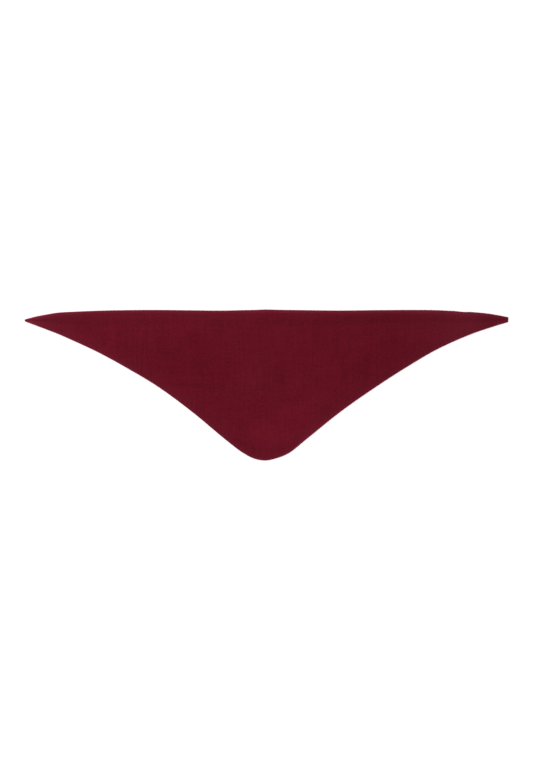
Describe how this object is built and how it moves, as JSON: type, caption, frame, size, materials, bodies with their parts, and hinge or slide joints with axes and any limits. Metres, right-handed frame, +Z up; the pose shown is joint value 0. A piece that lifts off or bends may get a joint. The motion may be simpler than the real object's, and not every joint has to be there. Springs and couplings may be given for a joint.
{
  "type": "triangular cashmere scarf",
  "caption": "Plain triangular neck scarf in fine burgundy cashmere jersey, with long narrow ties, a rounded point and a softly rolled, hemmed neck edge, laid flat.",
  "frame": {"origin": "middle of the outline's box, on the surface that the scarf lies on", "axes": "+X from the left tie end to the right tie end as seen in the picture, +Y from the rounded point to the long neck edge, +Z up, out of the cloth's face"},
  "size_m": [1.1996, 0.374, 0.0053],
  "materials": {
    "cashmere_jersey": "fine brushed knit, matte with a soft nap"
  },
  "bodies": {
    "root": {"body_panel": "cashmere_jersey", "neck_hem": "cashmere_jersey"}
  },
  "joints": []
}
